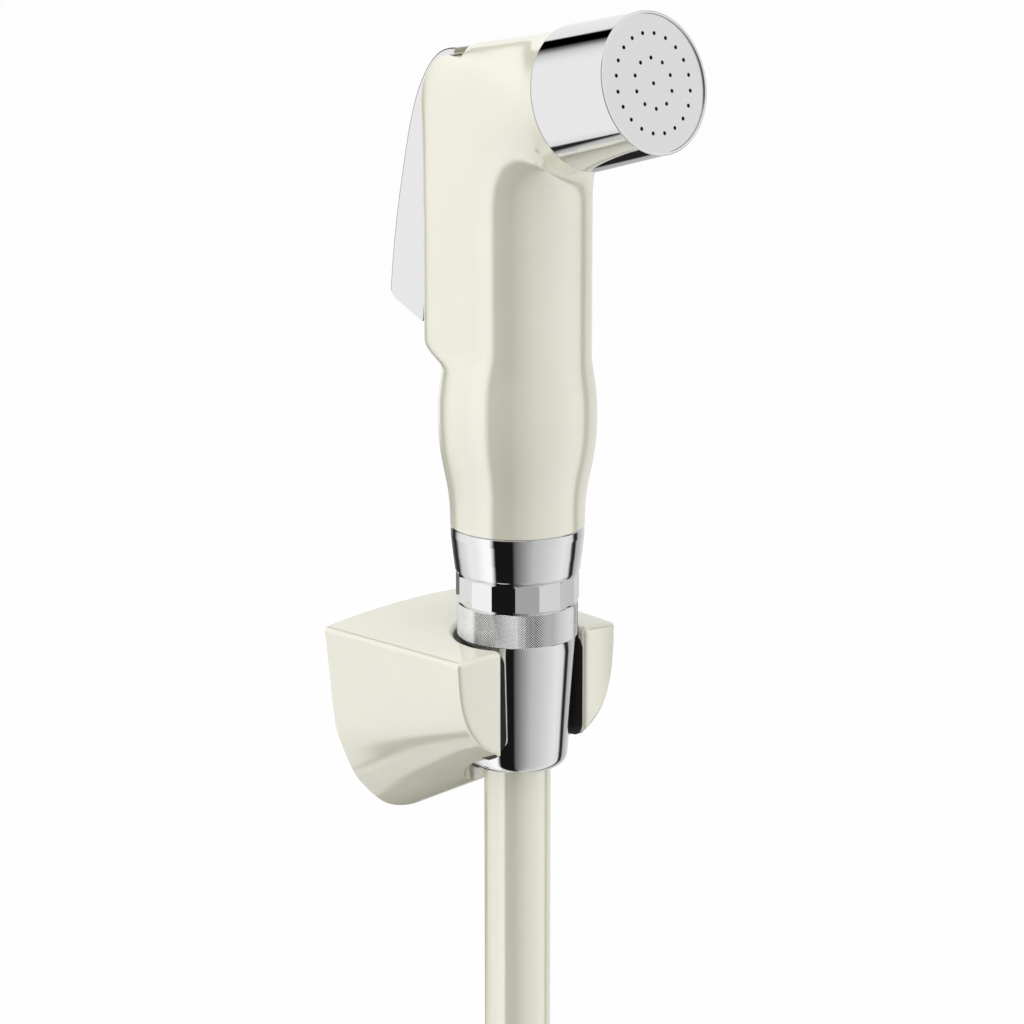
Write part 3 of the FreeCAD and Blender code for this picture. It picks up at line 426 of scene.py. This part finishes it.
# Hose: the route's points, then the tied coil's turns and the straight free end.
HOSE_R = 0.0072
ROUTE = [
    (0.0, AXIS_Y, 0.013), (0.0, AXIS_Y, -0.078), (0.0, AXIS_Y, -0.119),
    (0.062, AXIS_Y, -0.2355),
]
COIL_R = 0.086
COIL_CENTRE = (-0.013918, -0.275903)
COIL_FROM, COIL_TO = math.radians(28.02), math.radians(-540.0)
BACK_Y = -0.0187                 # the free end stands this far from the wall
FREE_X = -0.09992


def coil_points():
    """Control points on a circle clockwise seen from the front, stepping back one pitch per turn."""
    count = 26
    k = np.arange(1, count + 1) / (count + 0.5)
    angle = COIL_FROM + (COIL_TO - COIL_FROM) * k
    step = (COIL_FROM - COIL_TO) / (count + 0.5)
    radius = COIL_R / (0.75 + 0.25 * math.cos(step)) * 0.998
    turn = (COIL_FROM - angle) / math.radians(360.0)
    rise = np.clip((turn - 0.62) / 0.36, 0.0, 1.0)
    y = AXIS_Y + (BACK_Y - AXIS_Y) * rise * rise * (3 - 2 * rise)
    x = COIL_CENTRE[0] + radius * np.cos(angle)
    z = COIL_CENTRE[1] + radius * np.sin(angle)
    return np.stack([x, y, z], axis=1).tolist()


free_end = [(FREE_X, BACK_Y, -0.2700), (FREE_X, BACK_Y, -0.2440), (FREE_X, BACK_Y, -0.2180)]
hose_line = bpy.data.curves.new("hose_line", "CURVE")
hose_line.dimensions = "3D"
hose_line.bevel_depth = HOSE_R
hose_line.bevel_resolution = 12
hose_line.resolution_u = 16
hose_line.use_fill_caps = True
spline = hose_line.splines.new("NURBS")
points = ROUTE + coil_points() + free_end
spline.points.add(len(points) - 1)
for point, place in zip(spline.points, points):
    point.co = (*place, 1.0)
spline.order_u = 3
spline.use_endpoint_u = True
hose_line.materials.append(ivory_hose)
hose = bpy.data.objects.new("shower_hose", hose_line)
scene.collection.objects.link(hose)
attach(hose, "base")
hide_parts("hose", "hose_coil")


# Light: one large soft panel on the left, one on the right and one overhead, in watts and metres.
LAMP_CENTRE_Z = 0.06


def lamp(name, azimuth, elevation, distance, size, watts):
    """A soft area lamp at a direction from the handset, measured from the camera's side."""
    data = bpy.data.lights.new(name, "AREA")
    data.shape = "RECTANGLE"
    data.size, data.size_y = size
    data.energy = watts
    made = bpy.data.objects.new(name, data)
    scene.collection.objects.link(made)
    a = CAMERA_AZIMUTH + math.radians(azimuth)
    e = math.radians(elevation)
    away = (math.sin(a) * math.cos(e), -math.cos(a) * math.cos(e), math.sin(e))
    made.location = (distance * away[0], AXIS_Y + distance * away[1], LAMP_CENTRE_Z + distance * away[2])
    made.rotation_euler = (math.pi / 2 - e, 0.0, a)
    made.visible_glossy = False
    made.visible_camera = False
    return made


lamp("left_panel", -75.0, 20.0, 1.5, (1.1, 1.4), 10.0)
lamp("right_panel", 80.0, 10.0, 1.6, (0.9, 1.3), 9.5)
lamp("overhead", -10.0, 75.0, 1.4, (1.2, 1.2), 11.0)

world = bpy.data.worlds.new("white_room")
scene.world = world
world.use_nodes = True
tree = world.node_tree
tree.nodes.clear()
out = tree.nodes.new("ShaderNodeOutputWorld")
path = tree.nodes.new("ShaderNodeLightPath")
seen = tree.nodes.new("ShaderNodeMath")
seen.operation = "MAXIMUM"
tree.links.new(path.outputs["Is Camera Ray"], seen.inputs[0])
more = tree.nodes.new("ShaderNodeMath")
more.operation = "MAXIMUM"
tree.links.new(path.outputs["Is Glossy Ray"], more.inputs[0])
tree.links.new(path.outputs["Is Transmission Ray"], more.inputs[1])
tree.links.new(more.outputs[0], seen.inputs[1])
fill = tree.nodes.new("ShaderNodeBackground")
fill.inputs["Strength"].default_value = 0.6
white = tree.nodes.new("ShaderNodeBackground")
white.inputs["Color"].default_value = (1.0, 1.0, 1.0, 1.0)
white.inputs["Strength"].default_value = 1.0
blend = tree.nodes.new("ShaderNodeMixShader")
tree.links.new(seen.outputs[0], blend.inputs["Fac"])
tree.links.new(fill.outputs[0], blend.inputs[1])
tree.links.new(white.outputs[0], blend.inputs[2])
tree.links.new(blend.outputs[0], out.inputs["Surface"])


# Reflection dome: a ball round the set that only mirrors see. Its tones follow the azimuth seen
# from the camera's side, as tall white and black boards would, with a few boards set higher or lower.
TONES = [
    (-180, 0.4), (-150, 0.05), (-137, 0.02), (-125, 0.55), (-96, 1.0), (-81, 1.0), (-60, 1.2), (-50, 1.2),
    (-46, 0.75), (-41, 0.01), (-9, 0.01), (-4, 0.15), (30, 0.6), (91, 0.95), (107, 0.85), (114, 0.03),
    (123, 0.03), (128, 0.5), (160, 0.8), (180, 0.4),
]
# Boards as (azimuth from, to, elevation from, to, tone, soft edge in degrees).
BOARDS = [
    (-122, -84, -20, 40, 1.0, 20.0),
    (-182, -150, -14, 36, 0.95, 3.0),
    (172, 182, -14, 26, 0.95, 3.0),
    (-152, -137, 20, 44, 0.0, 1.5),
    (-148, -124, -70, -28, 0.65, 5.0),
    (-124, -106, -57, -50, 0.02, 1.5),
    (-190, -146, -62, -34, 0.02, 2.5),
    (170, 190, -62, -34, 0.02, 2.5),
    (-200, 200, 50, 95, 0.92, 10.0),
]
DOME_R = 0.98


def dome():
    """A ball: x = R sin a cos e, y = -R cos a cos e, z = R sin e over azimuth a and elevation e."""
    azimuth, elevation = np.meshgrid(np.linspace(-180, 180, 481), np.linspace(-90, 90, 181))
    tone = np.interp(azimuth, [t[0] for t in TONES], [t[1] for t in TONES])
    for a0, a1, e0, e1, shade, soft in BOARDS:
        inside = np.minimum.reduce([azimuth - a0, a1 - azimuth, elevation - e0, e1 - elevation])
        share = np.clip(inside / soft + 0.5, 0.0, 1.0)
        tone = tone + (shade - tone) * share
    a = np.radians(azimuth) + CAMERA_AZIMUTH
    e = np.radians(elevation)
    place = np.stack([DOME_R * np.sin(a) * np.cos(e), AXIS_Y - DOME_R * np.cos(a) * np.cos(e),
                      AIM_Z + DOME_R * np.sin(e)], -1)
    rows, cols = azimuth.shape
    i = (np.arange(rows - 1)[:, None] * cols + np.arange(cols - 1)[None]).ravel()
    faces = np.stack([i, i + cols, i + cols + 1, i + 1], 1)
    mesh = bpy.data.meshes.new("reflection_dome")
    mesh.from_pydata(place.reshape(-1, 3).tolist(), [], faces.tolist())
    layer = mesh.color_attributes.new("tone", "FLOAT_COLOR", "POINT")
    shade = tone.ravel()
    layer.data.foreach_set("color", np.stack([shade, shade, shade, np.ones_like(shade)], 1).ravel())
    return mesh


dome_mesh = dome()
dome_finish = bpy.data.materials.new("studio_tones")
dome_finish.use_nodes = True
nodes = dome_finish.node_tree.nodes
nodes.clear()
tone = nodes.new("ShaderNodeAttribute")
tone.attribute_name = "tone"
glow = nodes.new("ShaderNodeEmission")
end = nodes.new("ShaderNodeOutputMaterial")
dome_finish.node_tree.links.new(tone.outputs["Color"], glow.inputs["Color"])
dome_finish.node_tree.links.new(glow.outputs[0], end.inputs["Surface"])
dome_mesh.materials.append(dome_finish)
reflections = bpy.data.objects.new("reflection_dome", dome_mesh)
scene.collection.objects.link(reflections)
reflections.visible_camera = False
reflections.visible_diffuse = False
reflections.visible_shadow = False
reflections.visible_transmission = False
reflections.visible_volume_scatter = False

# Floor: pale, below the coil. The camera sees it nearly white, and the rest of it keeps the shadow.
FLOOR_Z, FLOOR_HALF, FLOOR_GLOW = -0.42, 12.0, 0.97
floor_mesh = bpy.data.meshes.new("pale_floor")
floor_corners = [(x * FLOOR_HALF, y * FLOOR_HALF, FLOOR_Z)
                 for x, y in ((-1, -1), (1, -1), (1, 1), (-1, 1))]
floor_mesh.from_pydata(floor_corners, [], [(0, 1, 2, 3)])
floor_finish = bpy.data.materials.new("pale_floor")
floor_finish.use_nodes = True
nodes, links = floor_finish.node_tree.nodes, floor_finish.node_tree.links
nodes["Principled BSDF"].inputs["Base Color"].default_value = (0.9, 0.9, 0.9, 1.0)
nodes["Principled BSDF"].inputs["Roughness"].default_value = 0.9
glow = nodes.new("ShaderNodeEmission")
ray = nodes.new("ShaderNodeLightPath")
share = nodes.new("ShaderNodeMath")
share.operation = "MULTIPLY"
share.inputs[1].default_value = FLOOR_GLOW
mix = nodes.new("ShaderNodeMixShader")
links.new(ray.outputs["Is Camera Ray"], share.inputs[0])
links.new(share.outputs[0], mix.inputs["Fac"])
links.new(nodes["Principled BSDF"].outputs[0], mix.inputs[1])
links.new(glow.outputs[0], mix.inputs[2])
links.new(mix.outputs[0], nodes["Material Output"].inputs["Surface"])
floor_mesh.materials.append(floor_finish)
floor = bpy.data.objects.new("pale_floor", floor_mesh)
scene.collection.objects.link(floor)
floor.visible_glossy = False
